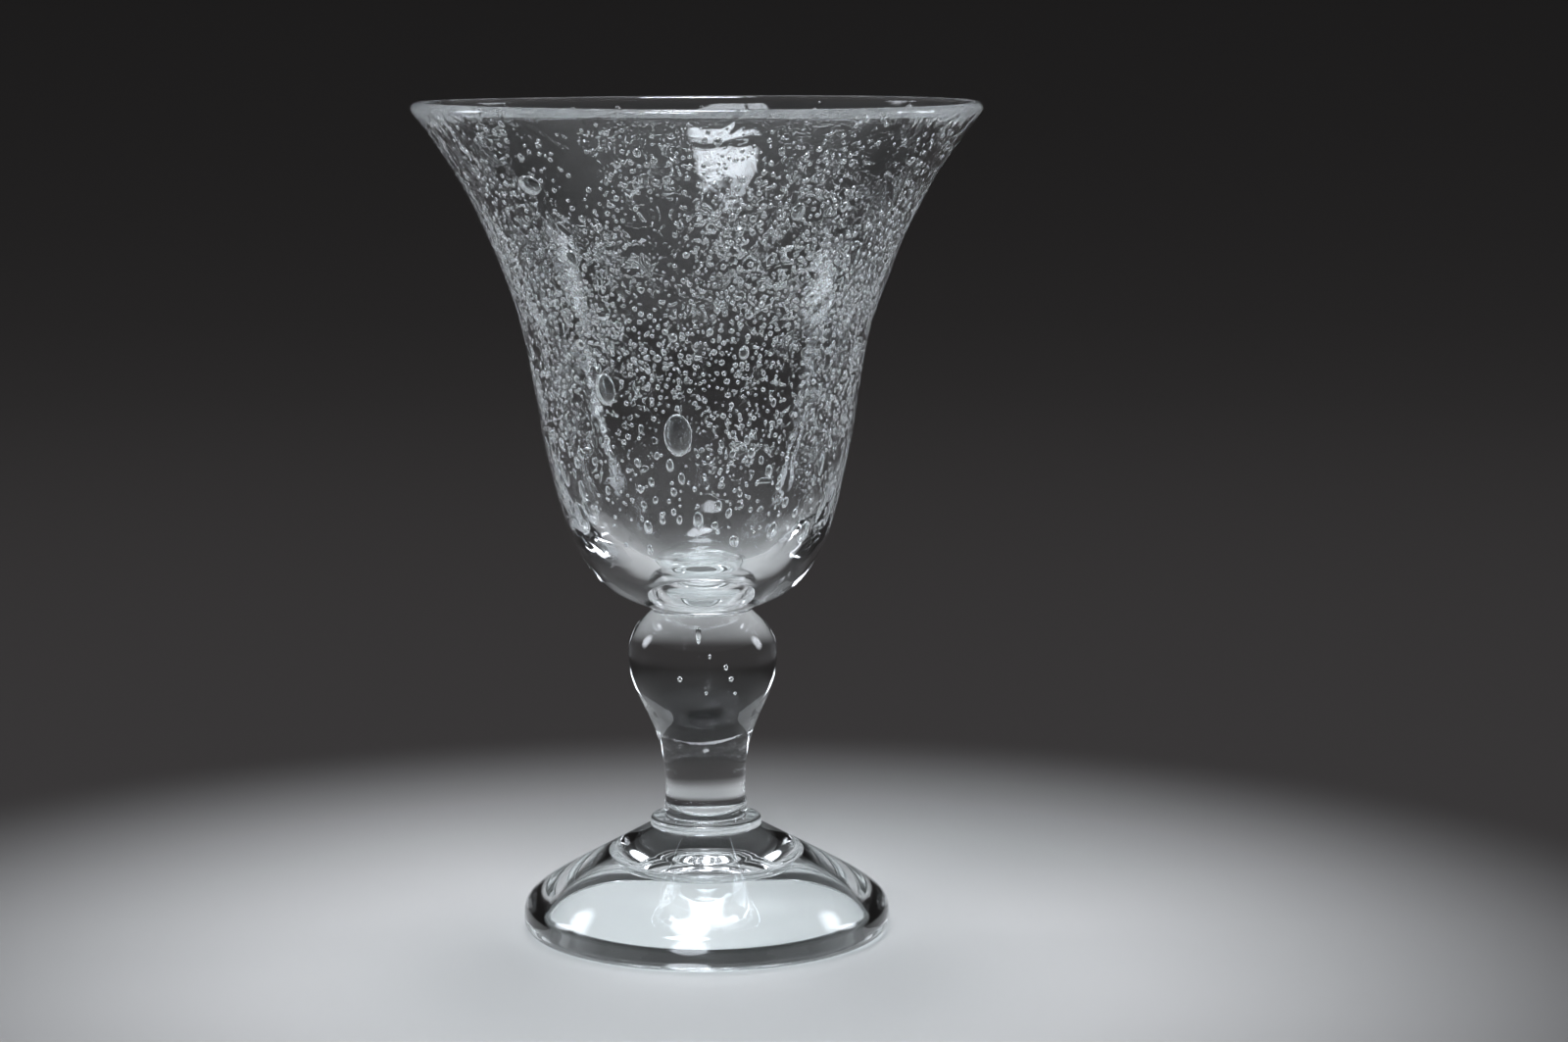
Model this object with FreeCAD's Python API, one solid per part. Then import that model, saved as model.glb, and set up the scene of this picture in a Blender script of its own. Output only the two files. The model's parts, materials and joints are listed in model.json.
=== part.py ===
import FreeCAD, Part
import math
import os

# A hand-blown bubble glass on a knopped stem: one fused piece of glass, standing on its foot
# at z = 0 with its axis on Z. The side that is seen first faces -Y.
# Sizes are in millimetres and angles in degrees. A heading is a direction along the outline
# of the section: 0 is up, 90 is away from the axis, 180 is down and -90 is towards the axis.
# A reach is how far a smooth stretch keeps to the heading at its end.

# Foot: a wide shallow cone with a thick rounded edge, open underneath
foot_radius = 36.15
foot_height = 20.9  # floor to the crease under the collar
foot_wall = 3.7
foot_slope = 61.0  # lean of the cone's side from the vertical
foot_cone_reach = 29.0
foot_edge_round = 2.0
foot_edge_reach = 5.5
rest_width = 0.9  # flat ring that the glass stands on
rest_round = 0.7
under_edge_lean = 15.0
under_edge_reach = 3.0
under_cone_reach = 11.0

# Boss: the solid middle under the foot, where the glass was cracked off and ground flat
boss_radius = 17.0
boss_drop = 2.0
boss_round = 0.8
ground_radius = 9.0
ground_depth = 0.5

# Collar: the small disc between foot and stem
collar_radius = 10.9
collar_height = 1.5
collar_round = 0.6
collar_top_lean = 80.0
crease_round = 0.35

# Stem and knop: one solid baluster
groove_radius = 7.7  # where the stem sits on the collar
groove_round = 0.35
bead_lean = 42.0
bead_reach = 1.6
neck_radius = 7.78
neck_height = 5.5  # groove to the narrowest place of the stem
neck_reach_down = 2.4
neck_reach_up = 14.0
knop_radius = 14.6
knop_rise = 25.6  # narrowest place of the stem to the widest of the knop
knop_reach_down = 8.0
knop_reach_up = 2.0
knop_height = 9.9  # widest place of the knop to the groove under the bowl
knop_top_lean = 56.0
knop_top_reach = 6.4

# Bowl: a bell with a flared lip
joint_radius = 9.7
joint_round = 0.5
base_lean = 70.0
base_reach = 13.1
waist_radius = 33.15
waist_height = 51.7  # groove to the place where the side begins to flare
waist_lean = 9.4
waist_reach_down = 44.5
waist_reach_up = 4.0
bowl_height = 98.65  # groove to lip
lip_radius = 55.0
lip_lean = 38.7
lip_reach = 24.5
lip_thickness = 2.6
waist_wall = 3.3
inner_waist_reach = 33.0
inner_floor_reach = 20.0
floor_thickness = 6.6

# Bubbles in the wall of the bowl. Those of the seen side are listed as turn from the front
# towards +X, share of the way up the bowl, width and length.
seen_bubbles = [
    (-5.7, 0.34, 5.2, 8.3),
    (-31.7, 0.43, 4.3, 6.4),
    (-59.0, 0.15, 4.4, 6.3),
    (1.0, 0.16, 2.0, 3.8),
    (55.5, 0.12, 3.0, 4.8),
    (-40.5, 0.85, 5.2, 4.3),
    (27.0, 0.80, 2.8, 3.9),
]
# The others climb round the rest of the wall in a loose spiral.
spiral_bubbles = 4
spiral_width = 2.1
spiral_length = 3.6
spiral_first_turn = 95.0
spiral_last_turn = 265.0
spiral_low = 0.18
spiral_high = 0.60
spiral_stride = 3  # neighbours are this many steps apart in height
bubble_depth = 0.56  # most of the wall's thickness that a bubble takes

# Heights above the floor, and the lip's middle, that follow from the sizes above
slope = math.radians(foot_slope)
under_z = foot_height - (boss_radius - collar_radius) / math.tan(slope) - foot_wall / math.sin(slope)
boss_z = under_z - boss_drop
collar_top_z = foot_height + collar_height
groove_z = collar_top_z + groove_round
neck_z = groove_z + neck_height
knop_z = neck_z + knop_rise
joint_z = knop_z + knop_height
waist_z = joint_z + waist_height
floor_z = joint_z + floor_thickness
lip_round = lip_thickness / 2
lip_z = joint_z + bowl_height - lip_round


def at(radius, height):
    """Point of the section, which is turned round the axis."""
    return FreeCAD.Vector(radius, 0, height)


def unit(heading):
    """Step of 1 mm along a heading."""
    turn = math.radians(heading)
    return at(math.sin(turn), math.cos(turn))


class Place:
    """Point that the outline passes, with its heading there and its reach on each side."""

    def __init__(self, point, heading, reach_in=0, reach_out=0):
        self.first = self.last = point
        self.arrive = self.leave = heading
        self.reach_in = reach_in
        self.reach_out = reach_out
        self.edges = []


class Bend(Place):
    """Round corner of the outline about a centre, from one heading to another."""

    def __init__(self, centre, radius, arrive, leave, reach_in=0, reach_out=0):
        side = math.copysign(radius, leave - arrive)
        middle = (arrive + leave) / 2
        first, half, last = [centre - unit(way + 90) * side for way in (arrive, middle, leave)]
        super().__init__(first, arrive, reach_in, reach_out)
        self.last = last
        self.leave = leave
        self.edges = [Part.Arc(first, half, last).toShape()]


def stretch(start, end):
    """The outline from one place to the next: smooth where both have a reach, else straight."""
    if not (start.reach_out and end.reach_in):
        return Part.LineSegment(start.last, end.first)
    bezier = Part.BezierCurve()
    out = start.last + unit(start.leave) * start.reach_out
    back = end.first - unit(end.arrive) * end.reach_in
    bezier.setPoles([start.last, out, back, end.first])
    return bezier


def foot_places():
    """Underside of the foot from the axis out, round the edge and up to the collar."""
    third = ground_radius / 3
    rest_r = foot_radius - foot_edge_round
    return [
        Place(at(0, boss_z + ground_depth), 90, reach_out=third),
        Place(at(ground_radius, boss_z), 90 + math.degrees(math.atan2(2 * ground_depth, ground_radius)), third),
        Bend(at(boss_radius - boss_round, boss_z + boss_round), boss_round, 90, 0),
        Bend(at(boss_radius + boss_round, under_z - boss_round), boss_round, 0, 180 - foot_slope,
             reach_out=under_cone_reach),
        Bend(at(rest_r - rest_width, rest_round), rest_round, 180 - under_edge_lean, 90, under_edge_reach),
        Bend(at(rest_r, foot_edge_round), foot_edge_round, 90, 0, reach_out=foot_edge_reach),
        Bend(at(collar_radius + crease_round, foot_height), crease_round, -foot_slope, 0, foot_cone_reach),
        Bend(at(collar_radius - collar_round, collar_top_z - collar_round), collar_round, 0, -collar_top_lean),
    ]


def stem_places():
    """Groove on the collar, the stem and its knop, and the groove under the bowl."""
    return [
        Bend(at(groove_radius + groove_round, groove_z), groove_round, -collar_top_lean, bead_lean,
             reach_out=bead_reach),
        Place(at(neck_radius, neck_z), 0, neck_reach_down, neck_reach_up),
        Place(at(knop_radius, knop_z), 0, knop_reach_down, knop_reach_up),
        Bend(at(joint_radius + joint_round, joint_z), joint_round, -knop_top_lean, base_lean,
             knop_top_reach, base_reach),
    ]


def bowl_places():
    """Outside of the bowl, over the lip and down the inside to the floor on the axis."""
    waist = at(waist_radius, waist_z)
    inner_waist = waist - unit(waist_lean + 90) * waist_wall
    return [
        Place(waist, waist_lean, waist_reach_down, waist_reach_up),
        Bend(at(lip_radius - lip_round, lip_z), lip_round, lip_lean, lip_lean - 180, lip_reach, lip_reach),
        Place(inner_waist, waist_lean - 180, waist_reach_up, inner_waist_reach),
        Place(at(0, floor_z), -90, inner_floor_reach),
    ]


def joined(places):
    """Curves between the places, in order."""
    return [stretch(start, end) for start, end in zip(places, places[1:])]


def bowl_walls():
    """Curves of the bowl's outside and of its inside, each from the bottom up."""
    joint = stem_places()[-1]
    waist, lip, inner_waist, floor = bowl_places()
    return joined([joint, waist, lip]), joined([lip, inner_waist, floor])[::-1]


def solid_glass():
    """The whole glass as one turned solid, without its bubbles."""
    places = foot_places() + stem_places() + bowl_places()
    edges = []
    for place, curve in zip(places, joined(places) + [None]):
        edges += place.edges
        if curve:
            edges.append(curve.toShape())
    edges.append(Part.makeLine(places[-1].last, places[0].first))
    section = Part.Face(Part.Wire(edges))
    return section.revolve(at(0, 0), FreeCAD.Vector(0, 0, 1), 360)


def crossing(curves, height):
    """Point where a wall of the bowl passes a height."""
    for curve in curves:
        low, high = sorted((0.0, 1.0), key=lambda share: curve.value(share).z)
        if curve.value(high).z >= height:
            break
    while abs(high - low) > 1e-6:
        middle = (low + high) / 2
        if curve.value(middle).z < height:
            low = middle
        else:
            high = middle
    return curve.value(low)


def bubble(turn, share, width, length):
    """Flattened drop of air in the middle of the wall, drawn out along it."""
    outside, inside = bowl_walls()
    height = floor_z + share * (lip_z - floor_z)
    step = length / 4
    below, above = [(crossing(outside, height + rise) + crossing(inside, height + rise)) / 2
                    for rise in (-step, step)]
    along = (above - below).normalize()
    through = along.cross(FreeCAD.Vector(0, 1, 0)).normalize()
    middle = (below + above) / 2
    wall = abs((crossing(outside, middle.z) - crossing(inside, middle.z)).dot(through))
    depth = min(width, bubble_depth * wall)
    across = FreeCAD.Vector(0, 1, 0)
    shape = FreeCAD.Matrix(
        through.x * depth, across.x * width, along.x * length, middle.x,
        through.y * depth, across.y * width, along.y * length, middle.y,
        through.z * depth, across.z * width, along.z * length, middle.z,
        0, 0, 0, 1,
    )
    ball = Part.makeSphere(0.5).transformGeometry(shape)
    ball.rotate(at(0, 0), FreeCAD.Vector(0, 0, 1), turn - 90)
    return ball


def bubbles():
    """The larger bubbles: those seen in front, and a spiral round the back."""
    shapes = [bubble(*sizes) for sizes in seen_bubbles]
    for number in range(spiral_bubbles):
        share_round = number / (spiral_bubbles - 1)
        turn = spiral_first_turn + share_round * (spiral_last_turn - spiral_first_turn)
        rise = number * spiral_stride % spiral_bubbles / (spiral_bubbles - 1)
        share = spiral_low + rise * (spiral_high - spiral_low)
        shapes.append(bubble(turn, share, spiral_width, spiral_length))
    return shapes


goblet = solid_glass().cut(Part.Compound(bubbles())).Solids[0]
os.makedirs("parts", exist_ok=True)
goblet.exportStep("parts/goblet.step")
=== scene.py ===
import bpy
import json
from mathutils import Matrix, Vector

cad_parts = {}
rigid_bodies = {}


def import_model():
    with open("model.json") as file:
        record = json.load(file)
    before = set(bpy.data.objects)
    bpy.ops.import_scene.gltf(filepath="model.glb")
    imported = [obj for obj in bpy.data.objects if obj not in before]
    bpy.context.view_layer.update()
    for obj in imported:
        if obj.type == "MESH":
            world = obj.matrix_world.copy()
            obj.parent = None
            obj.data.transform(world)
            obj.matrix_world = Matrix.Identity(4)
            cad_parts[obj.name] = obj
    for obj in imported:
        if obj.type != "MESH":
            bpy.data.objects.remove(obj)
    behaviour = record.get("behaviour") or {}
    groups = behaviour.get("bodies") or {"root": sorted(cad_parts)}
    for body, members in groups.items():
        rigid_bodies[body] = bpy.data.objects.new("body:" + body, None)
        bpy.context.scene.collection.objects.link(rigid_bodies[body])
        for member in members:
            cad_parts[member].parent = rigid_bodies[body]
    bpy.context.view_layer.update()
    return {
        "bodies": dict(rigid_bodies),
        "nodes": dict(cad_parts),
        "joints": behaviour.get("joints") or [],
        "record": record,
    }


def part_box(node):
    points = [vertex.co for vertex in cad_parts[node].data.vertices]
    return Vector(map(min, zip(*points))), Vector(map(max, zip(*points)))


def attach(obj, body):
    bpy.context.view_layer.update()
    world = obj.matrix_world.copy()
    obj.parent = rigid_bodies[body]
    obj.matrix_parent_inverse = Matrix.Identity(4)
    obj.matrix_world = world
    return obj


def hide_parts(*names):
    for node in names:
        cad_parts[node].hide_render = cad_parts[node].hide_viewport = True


bl_info = {
    "name": "Bubble glass goblet",
    "version": (1, 0, 0),
    "blender": (4, 5, 0),
    "location": "3D View > Sidebar > Goblet",
    "description": "A hand-blown goblet with air bubbles in its bowl, on a pale studio floor",
    "category": "Add Mesh",
}

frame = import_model()

import json
import math
import random
from collections import namedtuple

import bpy
import numpy as np
from mathutils import Vector, geometry, noise

low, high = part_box("goblet")

MM = 0.001


# Properties: sizes are in metres, given here in millimetres

def length(name, description, size):
    """Property for a size."""
    return bpy.props.FloatProperty(
        name=name, description=description, default=size * MM, min=0.0, unit="LENGTH", precision=5
    )


def angle(name, description, degrees):
    """Property for an angle, given in degrees."""
    return bpy.props.FloatProperty(
        name=name, description=description, default=math.radians(degrees), subtype="ANGLE"
    )


def count(name, description, number):
    """Property for a whole number."""
    return bpy.props.IntProperty(name=name, description=description, default=number, min=0)


def factor(name, description, share):
    """Property for a share from 0 to 1."""
    return bpy.props.FloatProperty(
        name=name, description=description, default=share, min=0.0, max=1.0, subtype="FACTOR"
    )


def linear(hex_colour):
    """sRGB hex colour as linear red, green and blue."""
    parts = [int(hex_colour[i:i + 2], 16) / 255 for i in (1, 3, 5)]
    return tuple(p / 12.92 if p <= 0.04045 else ((p + 0.055) / 1.055) ** 2.4 for p in parts)


def colour(name, description, hex_colour):
    """Property for a colour, given in sRGB."""
    return bpy.props.FloatVectorProperty(
        name=name, description=description, default=linear(hex_colour), size=3, min=0.0, max=1.0,
        subtype="COLOR"
    )


class GobletShape(bpy.types.PropertyGroup):
    """Sizes of the glass as it was blown and joined"""

    height: length("Height", "From the floor to the top of the lip", high.z / MM)
    lip_radius: length("Lip radius", "Widest radius, at the lip", (high.x - low.x) / 2 / MM)
    lip_thickness: length("Lip thickness", "Thickness of the fire-polished lip", 2.6)
    lip_lean: angle("Lip flare", "Lean of the bowl's side at the lip", 38.7)
    waist_radius: length("Waist radius", "Radius where the side begins to flare", 33.15)
    waist_drop: length("Waist depth", "From the top of the lip down to the waist", 46.95)
    waist_lean: angle("Waist lean", "Lean of the bowl's side at the waist", 9.4)
    waist_wall: length("Wall", "Thickness of the wall at the waist", 3.3)
    joint_drop: length("Bowl depth", "From the top of the lip to the groove under the bowl", 98.65)
    joint_radius: length("Joint radius", "Radius of the groove under the bowl", 9.7)
    floor_thickness: length("Bowl floor", "Glass under the inside of the bowl", 6.6)
    knop_radius: length("Knop radius", "Widest radius of the knop", 14.6)
    knop_height: length("Knop height", "From the widest place of the knop to the joint", 9.9)
    neck_radius: length("Neck radius", "Narrowest radius of the stem", 7.78)
    neck_height: length("Neck height", "From the narrowest place to the widest", 25.6)
    collar_radius: length("Collar radius", "Radius of the disc between stem and foot", 10.9)
    collar_height: length("Collar height", "Height of the disc", 1.5)
    foot_radius: length("Foot radius", "Widest radius of the foot", 36.15)
    foot_height: length("Foot height", "From the floor to the crease under the collar", 20.9)
    foot_wall: length("Foot wall", "Thickness of the foot's cone", 3.7)
    foot_slope: angle("Foot slope", "Lean of the foot's cone from the vertical", 61)
    steps: count("Steps", "Steps of the turned surface round the axis", 100)


class GobletHand(bpy.types.PropertyGroup):
    """How far the hand-made glass departs from a true turned form"""

    sway: length("Sway", "How far the foot and the bowl stand to the two sides of the axis", 0.8)
    sway_height: length("Sway height", "Height over which the sway goes from side to side", 120)
    lip_wave: length("Lip wave", "How far the lip rises and falls", 0.3)
    lip_oval: length("Lip oval", "How far the lip is out of round", 0.35)
    ripple: length("Ripple", "Unevenness of the bowl's wall", 0.3)
    ripple_size: length("Ripple size", "Width of one ripple in the wall", 12)
    cord_depth: length("Cord depth", "Depth of the fine streaks on the bowl's faces", 0.2)
    cord_size: length("Cord size", "Width of one fine streak", 10.5)
    cord_start: length("Cord start", "From the groove under the bowl up to the first streaks", 4)
    cord_full: length("Cord full", "From the groove under the bowl up to the full streaks", 31)


class GobletBubbles(bpy.types.PropertyGroup):
    """Air caught in the wall of the bowl"""

    seed: count("Seed", "Start of the random draws", 7)
    seeds: count("Seeds", "Number of fine bubbles", 4900)
    pearls: count("Pearls", "Number of round bubbles in the upper wall", 1650)
    drops: count("Drops", "Number of drawn-out bubbles in the lower wall", 260)
    seed_size: length("Seed size", "Usual width of a fine bubble", 0.72)
    pearl_size: length("Pearl size", "Usual width of a round bubble", 1.15)
    drop_size: length("Drop size", "Usual width of a drawn-out bubble", 1.15)
    margin: length("Margin", "Least glass between a bubble and a face of the wall", 0.2)
    flatness: factor("Flatness", "Most of the wall's thickness that a bubble takes", 0.44)
    patch_size: length("Patch size", "Width of one thicker patch of bubbles", 14)


class GobletFinish(bpy.types.PropertyGroup):
    """Colours of the glass and of the studio"""

    tint: colour("Glass", "Clear soda-lime glass, hardly blue", "#FBFDFD")
    shade: colour("Shade", "What is left of lamplight that grazes the glass", "#8E979A")
    clear: colour("Clear", "What is left of lamplight straight through one face", "#F2F5F5")
    # The floor colour is the lit middle of a pool of light painted on the floor round the glass. The
    # backdrop colour is the painted shade outside that pool, on the same floor and sweep.
    floor: colour("Floor", "Pale studio floor under the glass", "#C6C4C1")
    backdrop: colour("Backdrop", "Floor and sweep behind the glass", "#2E2A28")


# Outline of the section. A heading is a direction along it: 0 is up, 90 is away from the axis,
# 180 is down and -90 is towards the axis. A knot is a point, its heading, and how far the curve
# keeps to the heading before and after it, its reaches. Sizes here are in millimetres and degrees.

# Under the foot: the solid middle with its ground hollow, and the ring that the glass stands on
BOSS_RADIUS = 17
BOSS_DROP = 2
BOSS_ROUND = 0.8
HOLLOW_RADIUS = 9
HOLLOW_DEPTH = 0.5
HOLLOW_HEADING = 96.3
HOLLOW_REACH = 3
UNDER_REACH = 11
RING_WIDTH = 0.9
RING_ROUND = 0.7
RING_HEADING = 165
RING_REACH = 3

# Upper side of the foot, and the collar with the groove above it
EDGE_ROUND = 2
EDGE_REACH = 5.5
CREASE_ROUND = 0.35
CREASE_REACH = 29
COLLAR_ROUND = 0.6
COLLAR_TOP_HEADING = -80
GROOVE_RADIUS = 7.7
GROOVE_ROUND = 0.35
BEAD_HEADING = 42
BEAD_REACH = 1.6

# Stem, knop and the groove under the bowl
NECK_REACHES = (2.4, 14)
KNOP_REACHES = (8, 2)
KNOP_TOP_HEADING = -56
KNOP_TOP_REACH = 6.4
JOINT_ROUND = 0.5

# Bowl
BASE_HEADING = 70
BASE_REACH = 13.1
WAIST_REACHES = (44.5, 4)
LIP_REACH = 24.5
INNER_WAIST_REACHES = (4, 33)
INNER_FLOOR_REACH = 20


def unit(heading):
    """Step of length 1 along a heading."""
    turn = math.radians(heading)
    return Vector((math.sin(turn), 0, math.cos(turn)))


def place(radius, height, heading, reach_in=0.0, reach_out=0.0):
    """Knot where the outline passes a point, in a list."""
    return [(Vector((radius, 0, height)), heading, reach_in, reach_out)]


def bend(radius, height, size, arrive, leave, reach_in=0.0, reach_out=0.0):
    """Knots of a round corner about a centre, about a quarter turn apart at most."""
    centre = Vector((radius, 0, height))
    widest_arc = 91
    arcs = math.ceil(abs(leave - arrive) / widest_arc)
    turn = (leave - arrive) / arcs
    side = math.copysign(size, turn)
    handle = 4 / 3 * math.tan(math.radians(abs(turn)) / 4) * size
    knots = []
    for i in range(arcs + 1):
        heading = arrive + i * turn
        knots.append((
            centre - unit(heading + 90) * side,
            heading,
            handle if i > 0 else reach_in,
            handle if i < arcs else reach_out,
        ))
    return knots


def outline(shape):
    """Knots in two runs: from the axis under the foot up to the lip, and down inside the bowl."""
    lip_round = shape.lip_thickness / 2 / MM
    lip_z = shape.height / MM - lip_round
    lip_lean = math.degrees(shape.lip_lean)
    waist_lean = math.degrees(shape.waist_lean)
    waist = Vector((shape.waist_radius, 0, shape.height - shape.waist_drop)) / MM
    inner_waist = waist - unit(waist_lean + 90) * (shape.waist_wall / MM)
    joint_z = (shape.height - shape.joint_drop) / MM
    floor_z = joint_z + shape.floor_thickness / MM
    knop_z = joint_z - shape.knop_height / MM
    neck_z = knop_z - shape.neck_height / MM
    collar_r = shape.collar_radius / MM
    crease_z = shape.foot_height / MM
    collar_z = crease_z + shape.collar_height / MM
    foot_slope = math.degrees(shape.foot_slope)
    under_z = (crease_z - (BOSS_RADIUS - collar_r) / math.tan(shape.foot_slope)
               - shape.foot_wall / MM / math.sin(shape.foot_slope))
    boss_z = under_z - BOSS_DROP
    edge_r = shape.foot_radius / MM - EDGE_ROUND

    foot = (
        place(0, boss_z + HOLLOW_DEPTH, 90, 0, HOLLOW_REACH)
        + place(HOLLOW_RADIUS, boss_z, HOLLOW_HEADING, HOLLOW_REACH, 0)
        + bend(BOSS_RADIUS - BOSS_ROUND, boss_z + BOSS_ROUND, BOSS_ROUND, 90, 0)
        + bend(BOSS_RADIUS + BOSS_ROUND, under_z - BOSS_ROUND, BOSS_ROUND, 0, 180 - foot_slope,
               0, UNDER_REACH)
        + bend(edge_r - RING_WIDTH, RING_ROUND, RING_ROUND, RING_HEADING, 90, RING_REACH, 0)
        + bend(edge_r, EDGE_ROUND, EDGE_ROUND, 90, 0, 0, EDGE_REACH)
        + bend(collar_r + CREASE_ROUND, crease_z, CREASE_ROUND, -foot_slope, 0, CREASE_REACH, 0)
        + bend(collar_r - COLLAR_ROUND, collar_z - COLLAR_ROUND, COLLAR_ROUND, 0, COLLAR_TOP_HEADING)
    )
    stem = (
        bend(GROOVE_RADIUS + GROOVE_ROUND, collar_z + GROOVE_ROUND, GROOVE_ROUND,
             COLLAR_TOP_HEADING, BEAD_HEADING, 0, BEAD_REACH)
        + place(shape.neck_radius / MM, neck_z, 0, *NECK_REACHES)
        + place(shape.knop_radius / MM, knop_z, 0, *KNOP_REACHES)
    )
    bowl = (
        bend(shape.joint_radius / MM + JOINT_ROUND, joint_z, JOINT_ROUND,
             KNOP_TOP_HEADING, BASE_HEADING, KNOP_TOP_REACH, BASE_REACH)
        + place(waist.x, waist.z, waist_lean, *WAIST_REACHES)
    )
    lip = bend(shape.lip_radius / MM - lip_round, lip_z, lip_round, lip_lean, lip_lean - 180,
               LIP_REACH, LIP_REACH)
    inside = (
        place(inner_waist.x, inner_waist.z, waist_lean - 180, *INNER_WAIST_REACHES)
        + place(0, floor_z, -90, INNER_FLOOR_REACH, 0)
    )
    return foot + stem + bowl + lip[:2], lip[1:] + inside


# The wall of the bowl, in metres, as the bubbles find it

TRACE_POINTS = 60  # points on each stretch of the traced outline
BOWL_KNOTS = 4  # knots of the bowl's outside, at the end of the first run


class Wall:
    """Outer and inner radius of the bowl by height"""

    def __init__(self, shape):
        outside, inside = outline(shape)
        self.outer = self.traced(outside[-BOWL_KNOTS:])
        self.inner = self.traced(inside)[:, ::-1]
        self.floor = self.inner[1, 0]
        self.lip = self.outer[1, -1]

    def traced(self, knots):
        """Radii and heights of points along the curves between the knots."""
        points = []
        for (start, leave, _, out), (end, arrive, back, _) in zip(knots, knots[1:]):
            points += geometry.interpolate_bezier(
                start, start + unit(leave) * out, end - unit(arrive) * back, end, TRACE_POINTS
            )
        return np.array([(p.x, p.z) for p in points]).T * MM

    def faces(self, height):
        """Radius of the outer and of the inner face."""
        outer, inner = [np.interp(height, side[1], side[0]) for side in (self.outer, self.inner)]
        return outer, inner

    def height(self, share):
        """Height at a share of the way from the bowl's floor to the lip."""
        return self.floor + share * (self.lip - self.floor)

    def axes(self, height, span):
        """Radius of the wall's middle, direction along the wall, and thickness."""
        below, above = [sum(self.faces(height + rise)) / 2 for rise in (-span, span)]
        along = Vector((above - below, 0, 2 * span)).normalized()
        outer, inner = self.faces(height)
        return (outer + inner) / 2, along, (outer - inner) * along.z


# Hand-made departures from the turned form, the same for the glass and for the bubbles in it

RIPPLE_START = 12 * MM  # height over which the ripple sets in above the groove under the bowl
RIPPLE_LAYERS = (0.6, 2.0, 2)  # how smooth the ripple is, step in size between layers, and layers
OVAL_TURN = 0.9  # where the lip is widest, as an angle in radians, and where it rises
LIP_TILT_TURN = 0.5
LIP_WAVE_TURN = 2.2


def ease(share):
    """Smooth step from 0 to 1."""
    share = np.clip(share, 0, 1)
    return share * share * (3 - 2 * share)


def as_blown(points, shape, hand):
    """Points of the true form as they sit in the hand-made glass."""
    x, y, z = points.T
    joint = shape.height - shape.joint_drop
    up_bowl = ease((z - joint) / (shape.height - joint))
    in_bowl = ease((z - joint) / RIPPLE_START)
    ripple = np.array([
        noise.fractal(Vector(point) / hand.ripple_size, *RIPPLE_LAYERS) for point in points
    ]) * in_bowl
    turn = np.arctan2(x, -y)
    radius = np.maximum(np.hypot(x, y), MM)
    oval = up_bowl * np.cos(2 * turn + OVAL_TURN) * hand.lip_oval
    grow = 1 + (ripple * hand.ripple + oval) / radius
    wave = np.cos(turn - LIP_TILT_TURN) + np.cos(2 * turn + LIP_WAVE_TURN)
    rise = up_bowl * wave * hand.lip_wave / 2
    lean = hand.sway * np.cos(np.pi * z / hand.sway_height)
    return np.stack([x * grow + lean, y * grow, z + rise], axis=1)


def blow(piece, scene):
    """Moves the points of a piece's mesh to where the hand-made glass has them."""
    mesh = piece.data
    points = np.empty(len(mesh.vertices) * 3)
    mesh.vertices.foreach_get("co", points)
    points = as_blown(points.reshape(-1, 3), scene.goblet_shape, scene.goblet_hand)
    mesh.vertices.foreach_set("co", points.ravel())
    mesh.update()


# Materials

CORD_SWIRL = 1.6  # how far the streaks in the bowl are drawn out of line
GRAZE_BLEND = 0.35  # how soon a face holds back lamplight as it turns away from the lamp
# The floor's pale pool round the glass, fading to dark, is painted light: lamplight and its falloff
# painted into the floor's colour.
PAINTED_POOL_MIDDLE = (0, -0.03, 0)  # middle of the pool of light painted on the floor, a little in front of the glass
PAINTED_POOL_REACH = 0.05  # how far the painted pool of light keeps the floor pale, and from where the floor is all dark as painted shade, in metres
PAINTED_POOL_EDGE = 0.22


def add_node(tree, kind, settings=(), **links):
    """Adds a node; settings are properties or input values, links are input name to socket."""
    made = tree.nodes.new(kind)
    for name, value in dict(settings).items():
        if hasattr(made, name):
            setattr(made, name, value)
        else:
            made.inputs[name].default_value = value
    for name, socket in links.items():
        tree.links.new(socket, made.inputs[name.replace("_", " ")])
    return made


def new_material(name):
    """Material with nothing in its node tree, and that tree."""
    material = bpy.data.materials.new(name)
    material.use_nodes = True
    material.node_tree.nodes.clear()
    return material, material.node_tree


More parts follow.
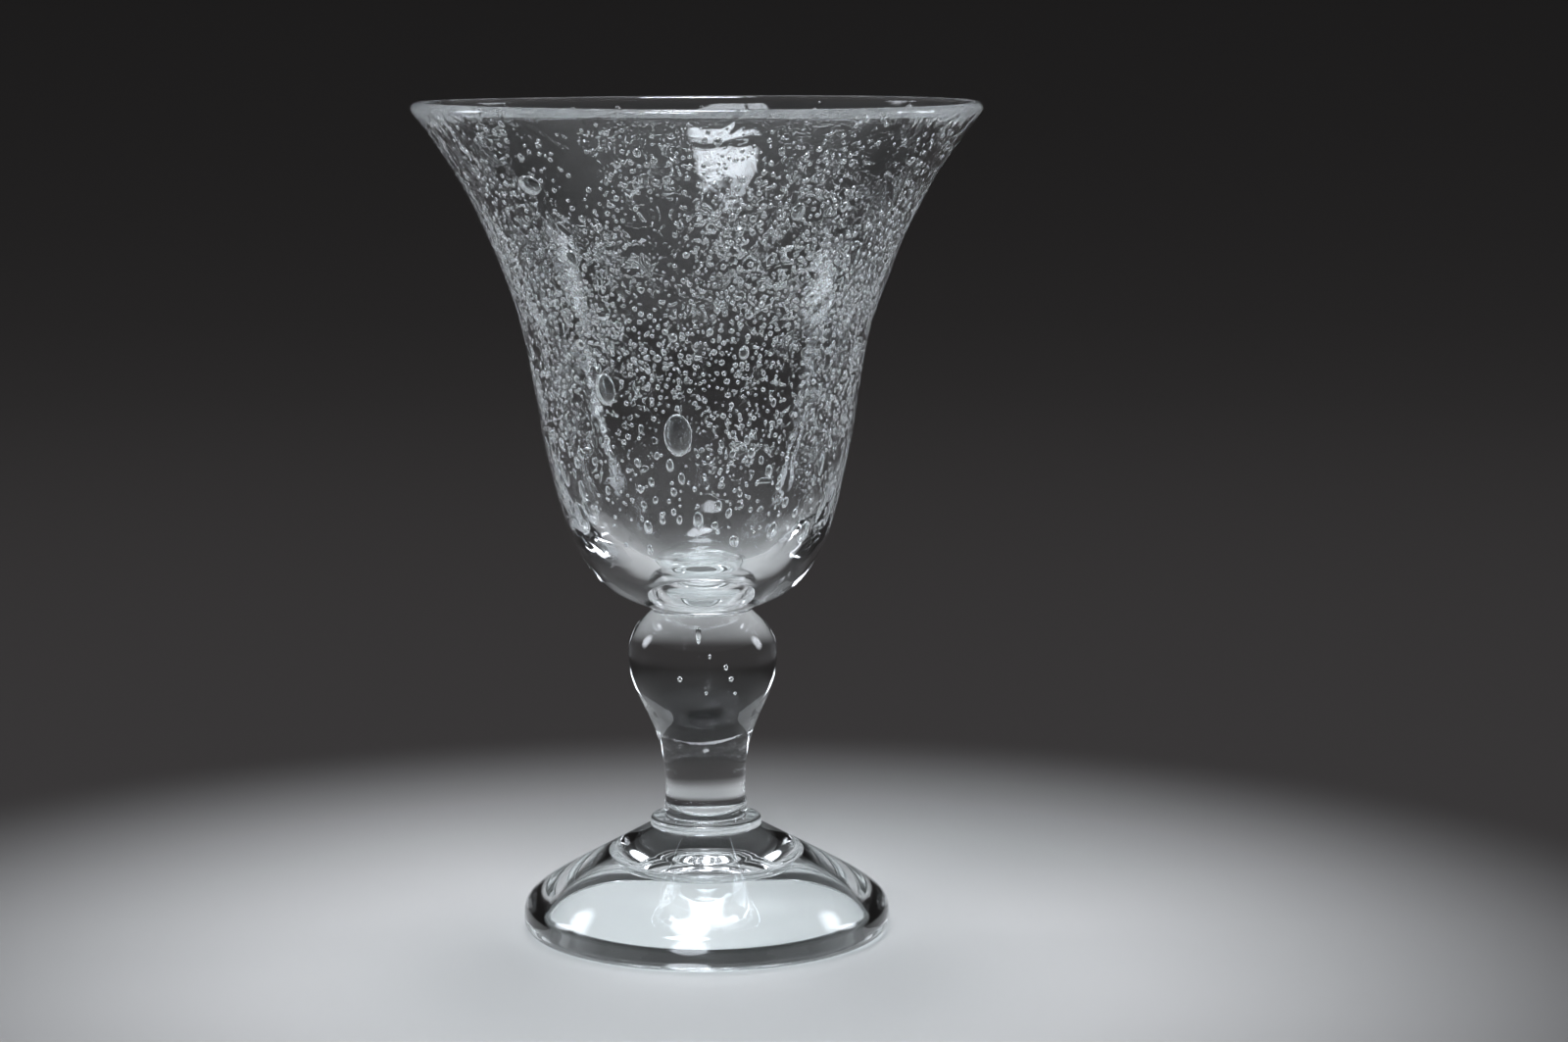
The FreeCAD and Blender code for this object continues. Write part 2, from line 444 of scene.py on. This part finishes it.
def soda_lime_glass(shape, hand, finish):
    """Clear blown glass: bright lines where it bends light, hardly a tint, a soft glassy shadow.

    Fine streaks in the bowl, which a glassmaker calls cords, break up the reflections of the
    lamps. Lamplight passes to the floor, weaker where it grazes a face, so that the shadow has
    the darker rims and the light middle of a real glass.
    """
    material, tree = new_material("soda_lime_glass")
    where = add_node(tree, "ShaderNodeTexCoord")
    height = add_node(tree, "ShaderNodeSeparateXYZ", Vector=where.outputs["Object"])
    joint = shape.height - shape.joint_drop
    in_bowl = add_node(tree, "ShaderNodeMapRange", {
        "interpolation_type": "SMOOTHSTEP",
        "From Min": joint + hand.cord_start,
        "From Max": joint + hand.cord_full,
    }, Value=height.outputs["Z"])
    cords = add_node(tree, "ShaderNodeTexNoise", {
        "Scale": 1 / hand.cord_size, "Detail": 1.0, "Distortion": CORD_SWIRL,
    }, Vector=where.outputs["Object"])
    waves = add_node(tree, "ShaderNodeBump", {"Distance": hand.cord_depth},
                     Strength=in_bowl.outputs["Result"], Height=cords.outputs["Fac"])
    glass = add_node(tree, "ShaderNodeBsdfPrincipled", {
        "Base Color": (*finish.tint, 1), "Roughness": 0.0, "IOR": 1.52, "Transmission Weight": 1.0,
    }, Normal=waves.outputs["Normal"])
    facing = add_node(tree, "ShaderNodeLayerWeight", {"Blend": GRAZE_BLEND})
    left = add_node(tree, "ShaderNodeMixRGB", {
        "Color1": (*finish.clear, 1), "Color2": (*finish.shade, 1),
    }, Fac=facing.outputs["Facing"])
    passing = add_node(tree, "ShaderNodeBsdfTransparent", Color=left.outputs[0])
    path = add_node(tree, "ShaderNodeLightPath")
    mix = add_node(tree, "ShaderNodeMixShader", Fac=path.outputs["Is Shadow Ray"])
    tree.links.new(glass.outputs[0], mix.inputs[1])
    tree.links.new(passing.outputs[0], mix.inputs[2])
    add_node(tree, "ShaderNodeOutputMaterial", Surface=mix.outputs[0])
    return material


def studio_floor(finish):
    """Matt floor and sweep with a pool of light painted into its colour: pale round the glass,
    darker away from it as painted shade.
    """
    material, tree = new_material("studio_floor")
    where = add_node(tree, "ShaderNodeTexCoord")
    away = add_node(tree, "ShaderNodeVectorMath", {"operation": "DISTANCE"},
                    Vector=where.outputs["Object"])
    away.inputs[1].default_value = PAINTED_POOL_MIDDLE
    # Painted pool of light: the floor's colour is pale near the glass and turns to the dark backdrop
    # colour away from it, standing in for lamplight falling off.
    fade = add_node(tree, "ShaderNodeMapRange", {
        "interpolation_type": "SMOOTHSTEP", "From Min": PAINTED_POOL_REACH, "From Max": PAINTED_POOL_EDGE,
    }, Value=away.outputs["Value"])
    painted_pool_tone = add_node(tree, "ShaderNodeMixRGB", {
        "Color1": (*finish.floor, 1), "Color2": (*finish.backdrop, 1),
    }, Fac=fade.outputs["Result"])
    paint = add_node(tree, "ShaderNodeBsdfPrincipled", {
        "Roughness": 0.7, "Specular IOR Level": 0.2,
    }, Base_Color=painted_pool_tone.outputs[0])
    add_node(tree, "ShaderNodeOutputMaterial", Surface=paint.outputs[0])
    return material


# Pieces

CURVE_STEPS = 4  # straight steps between two knots of the outline
LONGEST_STRETCH = 14  # the outline gets another knot for each such length, in millimetres
MERGE_DISTANCE = 0.002 * MM


def start_clean():
    """Leaves edit mode, with nothing selected."""
    if bpy.context.object and bpy.context.object.mode != "OBJECT":
        bpy.ops.object.mode_set(mode="OBJECT")
    bpy.ops.object.select_all(action="DESELECT")


def in_edit_mode(step, **settings):
    """Runs one mesh operator on everything in the active piece."""
    bpy.ops.object.mode_set(mode="EDIT")
    bpy.ops.mesh.select_all(action="SELECT")
    step(**settings)
    bpy.ops.object.mode_set(mode="OBJECT")


def bezier_line(knots):
    """Curve object through the knots, with its long stretches cut so that they stay smooth."""
    bpy.ops.curve.primitive_bezier_curve_add()
    line = bpy.context.object
    line.data.resolution_u = CURVE_STEPS
    points = line.data.splines[0].bezier_points
    points.add(len(knots) - 2)
    for point, (where, heading, reach_in, reach_out) in zip(points, knots):
        point.handle_left_type = point.handle_right_type = "FREE"
        point.co = where * MM
        point.handle_left = (where - unit(heading) * reach_in) * MM
        point.handle_right = (where + unit(heading) * reach_out) * MM
    bpy.ops.object.mode_set(mode="EDIT")
    for i in reversed(range(len(knots) - 1)):
        cuts = int((knots[i + 1][0] - knots[i][0]).length / LONGEST_STRETCH)
        if cuts:
            bpy.ops.curve.select_all(action="DESELECT")
            for point in line.data.splines[0].bezier_points[i:i + 2]:
                point.select_control_point = True
            bpy.ops.curve.subdivide(number_cuts=cuts)
    bpy.ops.object.mode_set(mode="OBJECT")
    return line


class GOBLET_OT_glass(bpy.types.Operator):
    """Turn the outline round its axis into one piece of glass, and let it sag a little"""

    bl_idname = "goblet.glass"
    bl_label = "Glass"
    bl_options = {"REGISTER", "UNDO"}

    def execute(self, context):
        scene = context.scene
        start_clean()
        outside, inside = outline(scene.goblet_shape)
        glass = bezier_line(outside + inside[1:])
        glass.name = glass.data.name = "goblet_glass"
        bpy.ops.object.convert(target="MESH")
        glass = context.object
        in_edit_mode(
            bpy.ops.mesh.spin, steps=scene.goblet_shape.steps, angle=math.tau,
            center=(0, 0, 0), axis=(0, 0, 1),
        )
        in_edit_mode(bpy.ops.mesh.remove_doubles, threshold=MERGE_DISTANCE)
        in_edit_mode(bpy.ops.mesh.normals_make_consistent, inside=False)
        bpy.ops.object.shade_smooth()
        blow(glass, scene)
        glass.data.materials.clear()
        glass.data.materials.append(
            soda_lime_glass(scene.goblet_shape, scene.goblet_hand, scene.goblet_finish)
        )
        return {"FINISHED"}


# The bubbles that stand out on the seen side: turn from the front towards +X, share of the way
# up the bowl, width and length in millimetres
SEEN_BUBBLES = [
    (-5.7, 0.34, 5.2, 8.3),
    (-31.7, 0.43, 4.3, 6.4),
    (-59.0, 0.15, 4.4, 6.3),
    (-71.0, 0.23, 3.0, 5.6),
    (1.0, 0.16, 2.0, 3.8),
    (17.0, 0.51, 2.1, 2.9),
    (35.5, 0.13, 2.3, 4.0),
    (55.5, 0.12, 3.0, 4.8),
    (-40.5, 0.85, 5.2, 4.3),
    (27.0, 0.80, 2.8, 3.9),
    (-35.6, 0.70, 3.1, 3.6),
    (-21.2, 0.143, 1.8, 2.9),
    (21.6, 0.30, 1.6, 2.2),
    (29.6, 0.26, 1.7, 2.6),
    (-17.2, 0.24, 1.3, 2.0),
    (-22.2, 0.224, 1.4, 1.8),
    (-21.6, 0.19, 1.4, 1.8),
    (73.9, 0.164, 2.4, 8.0),
    (4.0, 0.412, 1.1, 1.4),
    (-5.5, 0.395, 1.3, 1.6),
    (-13.7, 0.353, 1.3, 1.8),
    (-65.0, 0.21, 2.4, 5.8),
    (-52.5, 0.21, 1.8, 4.0),
    (-78.0, 0.28, 2.2, 5.5),
    (64.5, 0.20, 2.0, 5.6),
    (57.0, 0.26, 1.5, 4.4),
    (81.0, 0.26, 2.0, 6.0),
]

# The few bubbles in the knop: place, width and length in millimetres
KNOP_BUBBLES = [
    (-3.3, -4.0, 51.5, 0.9, 1.1),
    (3.4, -3.0, 53.2, 0.8, 1.0),
    (4.2, -3.5, 51.4, 0.9, 1.0),
    (0.4, -1.0, 49.2, 0.5, 0.7),
    (3.9, 1.0, 49.0, 0.5, 0.6),
    (-0.6, 2.0, 55.6, 0.8, 2.0),
    (1.2, -5.0, 55.0, 0.6, 0.8),
]

EVEN_CHANCE = 0.5  # chance that a small bubble stays, before patches and sides change it
BUBBLE_DEPTH = 0.6  # depth of a bubble through the wall, as a share of its width
BUBBLE_GAP = 0.04 * MM  # least glass between two bubbles
SHORTEST_SPAN = 0.5 * MM  # least length over which the wall's direction is taken
CROWDED_RADIUS = 40 * MM  # radius of the wall from which the bubbles are at their thickest
LENGTH_SPREAD = 0.15  # how far the length of a small bubble varies, as a share of its width
TILT_SPREAD = 9  # how far a small bubble leans to a side, in degrees
FINER_FROM = (0.8 * MM, 1.6 * MM, 3.5 * MM)  # half lengths from which a bubble gets finer faces

# Kinds of smaller bubble: lowest, usual and highest share of the way up the bowl, how far the
# width varies, how many times as long as wide, and how much more there are on the +X side
Kind = namedtuple("Kind", "lowest usual highest spread drawn aside")
SEED = Kind(0.11, 0.60, 0.99, 0.22, 1.05, 0.25)
PEARL = Kind(0.30, 0.82, 0.995, 0.18, 1.0, 0.25)
DROP = Kind(0.07, 0.20, 0.46, 0.28, 1.5, 0.35)


class Air:
    """Bubbles placed so far: none touches another or comes through the wall"""

    def __init__(self, wall, bubbles):
        self.wall = wall
        self.margin = bubbles.margin
        self.flatness = bubbles.flatness
        self.centres = np.empty((0, 3))
        self.reaches = np.empty(0)
        self.frames = []

    def keep(self, centre, frame, reach):
        """Keeps a bubble, unless another is in its place."""
        gaps = np.linalg.norm(self.centres - centre, axis=1) - self.reaches - reach
        if len(gaps) and gaps.min() < BUBBLE_GAP:
            return
        self.centres = np.vstack([self.centres, centre])
        self.reaches = np.append(self.reaches, reach)
        self.frames.append(frame)

    def add_upright(self, centre, width, size):
        """Adds an upright bubble of a width and a length that no wall holds."""
        frame = np.array([[width, 0, 0], [0, 0, -width], [0, size, 0]])
        self.keep(centre, frame, size / 2)

    def add(self, turn, share, width, size, depth_share=0.5, tilt=0.0):
        """Adds a bubble of a width and a length to the wall of the bowl."""
        height = self.wall.height(share)
        radius, along, thickness = self.wall.axes(height, max(size, SHORTEST_SPAN) / 4)
        across = Vector((0, 1, 0))
        through = across.cross(along)
        depth = min(BUBBLE_DEPTH * width, self.flatness * thickness)
        room = thickness / 2 - self.margin - depth / 2
        centre = Vector((radius, 0, height)) + through * (2 * depth_share - 1) * max(room, 0)
        along, across = (along * math.cos(tilt) + across * math.sin(tilt),
                         across * math.cos(tilt) - along * math.sin(tilt))
        frame = np.column_stack([across * width, along * size, through * depth])
        way = math.radians(turn - 90)
        spin = np.array([
            [math.cos(way), -math.sin(way), 0], [math.sin(way), math.cos(way), 0], [0, 0, 1],
        ])
        self.keep(spin @ np.array(centre), spin @ frame, max(width, size) / 2)

    def scatter(self, kind, number, usual_width, patch_size, draw):
        """Adds a number of bubbles of a kind, thicker in patches and where the wall is wide."""
        wanted = len(self.frames) + number
        while len(self.frames) < wanted:
            turn = draw.uniform(-180, 180)
            share = draw.triangular(kind.lowest, kind.highest, kind.usual)
            height = self.wall.height(share)
            radius = self.wall.faces(height)[0]
            way = math.radians(turn)
            spot = Vector((math.sin(way) * radius, -math.cos(way) * radius, height))
            patch = EVEN_CHANCE + noise.noise(spot / patch_size) + kind.aside * math.sin(way) / 2
            if draw.random() > patch * radius / CROWDED_RADIUS:
                continue
            width = usual_width * draw.lognormvariate(0, kind.spread)
            size = width * max(1, draw.gauss(kind.drawn, LENGTH_SPREAD))
            depth_share = draw.random()
            self.add(turn, share, width, size, depth_share, math.radians(draw.gauss(0, TILT_SPREAD)))


def inward_ball(subdivisions):
    """Points and faces of a ball 1 across whose faces look inward, as the skin of a bubble."""
    start_clean()
    bpy.ops.mesh.primitive_ico_sphere_add(subdivisions=subdivisions, radius=0.5)
    in_edit_mode(bpy.ops.mesh.flip_normals)
    mesh = bpy.context.object.data
    points = np.array([point.co for point in mesh.vertices])
    faces = np.array([list(face.vertices) for face in mesh.polygons])
    bpy.ops.object.delete()
    return points, faces


def skins(air):
    """Mesh of every bubble's skin, with finer balls for larger bubbles."""
    balls = [inward_ball(1 + detail) for detail in range(1 + len(FINER_FROM))]
    points, faces, total = [], [], 0
    for centre, axes, reach in zip(air.centres, air.frames, air.reaches):
        ball_points, ball_faces = balls[sum(reach > limit for limit in FINER_FROM)]
        points.append(ball_points @ axes.T + centre)
        faces.append(ball_faces + total)
        total += len(ball_points)
    mesh = bpy.data.meshes.new("bubbles")
    mesh.from_pydata(np.concatenate(points), [], np.concatenate(faces))
    return mesh


class GOBLET_OT_bubbles(bpy.types.Operator):
    """Trap air bubbles in the wall of the bowl: pearls high up, fine seeds, drawn drops below"""

    bl_idname = "goblet.bubbles"
    bl_label = "Bubbles"
    bl_options = {"REGISTER", "UNDO"}

    def execute(self, context):
        scene = context.scene
        sizes = scene.goblet_bubbles
        glass = bpy.data.objects["goblet_glass"]
        air = Air(Wall(scene.goblet_shape), sizes)
        draw = random.Random(sizes.seed)
        for turn, share, width, size in SEEN_BUBBLES:
            air.add(turn, share, width * MM, size * MM)
        for *centre, width, size in KNOP_BUBBLES:
            air.add_upright(np.array(centre) * MM, width * MM, size * MM)
        air.scatter(DROP, sizes.drops, sizes.drop_size, sizes.patch_size, draw)
        air.scatter(PEARL, sizes.pearls, sizes.pearl_size, sizes.patch_size, draw)
        air.scatter(SEED, sizes.seeds, sizes.seed_size, sizes.patch_size, draw)
        mesh = skins(air)
        mesh.materials.append(glass.data.materials[0])
        bubbles = bpy.data.objects.new("bubbles", mesh)
        scene.collection.objects.link(bubbles)
        blow(bubbles, scene)
        start_clean()
        bubbles.select_set(True)
        glass.select_set(True)
        context.view_layer.objects.active = glass
        bpy.ops.object.join()
        bpy.ops.object.shade_smooth()
        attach(glass, "root")
        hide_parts("goblet")
        return {"FINISHED"}


# Studio: sizes in metres, powers in watts

LAMP_COLOUR = "#F1F6FF"
TENT_COLOUR = "#EEF3F8"
LAMP_AIM = Vector((0, 0, 0.1))
LAMP_MIDDLE = (0.5, 0.5, 0)  # middle of a softbox, in shares of its width and depth
LAMP_FULL_REACH = 0.2  # how far from its middle a softbox is at its full strength
LAMP_DARK_REACH = 0.5
TENT_LOW = 0.25  # rise of the directions between which the tent goes from dim to bright
TENT_HIGH = 0.95
TENT_DIM = 0.1
TENT_BRIGHT = 0.25
FLOOR_CORNERS = 96
FLOOR_RADIUS = 1.0
SWEEP_RADIUS = 3.0
SWEEP_STEPS = 12
SWEEP_STEP_TURN = 5
CAMERA_PLACE = (0.0161, -0.682, 0.1805)
CAMERA_PITCH = 81.7
CAMERA_LENS = 81
CAMERA_SENSOR = 36
# Light runs round inside the lip and between the bubbles, so it needs many bounces to get out
GLASS_BOUNCES = 32
ALL_BOUNCES = 40
SHADOW_BOUNCES = 64


def soft_lamp(name, location, width, depth, power):
    """Softbox aimed at the glass, brightest in its middle, that the camera doesn't see itself."""
    bpy.ops.object.light_add(type="AREA", location=location)
    lamp = bpy.context.object
    lamp.name = name
    lamp.visible_camera = False
    lamp.rotation_euler = (LAMP_AIM - lamp.location).to_track_quat("-Z", "Y").to_euler()
    light = lamp.data
    light.shape = "RECTANGLE"
    light.size = width
    light.size_y = depth
    light.energy = power
    light.color = linear(LAMP_COLOUR)
    light.use_nodes = True
    tree = light.node_tree
    where = add_node(tree, "ShaderNodeNewGeometry")
    off = add_node(tree, "ShaderNodeVectorMath", {"operation": "DISTANCE"},
                   Vector=where.outputs["Parametric"])
    off.inputs[1].default_value = LAMP_MIDDLE
    fade = add_node(tree, "ShaderNodeMapRange", {
        "interpolation_type": "SMOOTHSTEP", "From Min": LAMP_DARK_REACH, "From Max": LAMP_FULL_REACH,
    }, Value=off.outputs["Value"])
    tree.links.new(fade.outputs["Result"], tree.nodes["Emission"].inputs["Strength"])


def light_tent():
    """World that is bright overhead and dim towards the sides, as inside a studio tent."""
    world = bpy.data.worlds.new("light_tent")
    world.use_nodes = True
    tree = world.node_tree
    tree.nodes.clear()
    where = add_node(tree, "ShaderNodeTexCoord")
    height = add_node(tree, "ShaderNodeSeparateXYZ", Vector=where.outputs["Generated"])
    strength = add_node(tree, "ShaderNodeMapRange", {
        "interpolation_type": "SMOOTHSTEP", "From Min": TENT_LOW, "From Max": TENT_HIGH,
        "To Min": TENT_DIM, "To Max": TENT_BRIGHT,
    }, Value=height.outputs["Z"])
    light = add_node(tree, "ShaderNodeBackground", {"Color": (*linear(TENT_COLOUR), 1)},
                     Strength=strength.outputs["Result"])
    add_node(tree, "ShaderNodeOutputWorld", Surface=light.outputs["Background"])
    return world


class GOBLET_OT_stage(bpy.types.Operator):
    """Set up the floor with its round sweep, pale in a painted pool of light round the glass and
    dark beyond, the soft lamps and the camera
    """

    bl_idname = "goblet.stage"
    bl_label = "Stage"
    bl_options = {"REGISTER", "UNDO"}

    def execute(self, context):
        scene = context.scene
        start_clean()
        bpy.ops.mesh.primitive_circle_add(
            vertices=FLOOR_CORNERS, radius=FLOOR_RADIUS, fill_type="TRIFAN",
        )
        floor = context.object
        floor.name = floor.data.name = "floor"
        bpy.ops.object.mode_set(mode="EDIT")
        bpy.ops.mesh.select_all(action="SELECT")
        bpy.ops.mesh.region_to_loop()
        radius = FLOOR_RADIUS
        for step in range(SWEEP_STEPS):
            turn, wider = [math.radians(SWEEP_STEP_TURN * (step + end)) for end in (0, 1)]
            rise = SWEEP_RADIUS * (math.cos(turn) - math.cos(wider))
            bpy.ops.mesh.extrude_region_move(TRANSFORM_OT_translate={"value": (0, 0, rise)})
            grown = radius + SWEEP_RADIUS * (math.sin(wider) - math.sin(turn))
            bpy.ops.transform.resize(value=(grown / radius, grown / radius, 1))
            radius = grown
        bpy.ops.object.mode_set(mode="OBJECT")
        bpy.ops.object.shade_smooth()
        floor.data.materials.append(studio_floor(scene.goblet_finish))

        soft_lamp("key_lamp", location=(0, 0.35, 1.35), width=0.42, depth=0.75, power=22)
        soft_lamp("top_lamp", location=(-0.2, -0.58, 1.26), width=0.62, depth=0.44, power=23)
        for side in (-1, 1):
            soft_lamp("side_lamp", location=(side * 1.25, 0.3, 0.5), width=0.5, depth=0.7, power=10)
        scene.world = light_tent()

        bpy.ops.object.camera_add(location=CAMERA_PLACE, rotation=(math.radians(CAMERA_PITCH), 0, 0))
        camera = context.object
        camera.data.lens = CAMERA_LENS
        camera.data.sensor_width = CAMERA_SENSOR
        camera.data.dof.use_dof = False
        scene.camera = camera
        scene.view_settings.view_transform = "Standard"
        scene.cycles.max_bounces = ALL_BOUNCES
        scene.cycles.glossy_bounces = GLASS_BOUNCES
        scene.cycles.transmission_bounces = GLASS_BOUNCES
        scene.cycles.transparent_max_bounces = SHADOW_BOUNCES
        return {"FINISHED"}


class GOBLET_PT_build(bpy.types.Panel):
    """Steps that build the goblet, in order"""

    bl_idname = "GOBLET_PT_build"
    bl_label = "Bubble glass goblet"
    bl_space_type = "VIEW_3D"
    bl_region_type = "UI"
    bl_category = "Goblet"

    def draw(self, context):
        for operator in OPERATORS:
            self.layout.operator(operator.bl_idname)


GROUPS = {
    "goblet_shape": GobletShape,
    "goblet_hand": GobletHand,
    "goblet_bubbles": GobletBubbles,
    "goblet_finish": GobletFinish,
}
OPERATORS = [GOBLET_OT_glass, GOBLET_OT_bubbles, GOBLET_OT_stage]


def register():
    """Makes the sizes, the steps and the panel known."""
    for kind in [*GROUPS.values(), *OPERATORS, GOBLET_PT_build]:
        bpy.utils.register_class(kind)
    for name, group in GROUPS.items():
        setattr(bpy.types.Scene, name, bpy.props.PointerProperty(type=group))


def unregister():
    """Takes them away again."""
    for name in GROUPS:
        delattr(bpy.types.Scene, name)
    for kind in reversed([*GROUPS.values(), *OPERATORS, GOBLET_PT_build]):
        bpy.utils.unregister_class(kind)


def main():
    register()
    bpy.ops.goblet.glass()
    bpy.ops.goblet.bubbles()
    bpy.ops.goblet.stage()


if __name__ == "__main__":
    main()
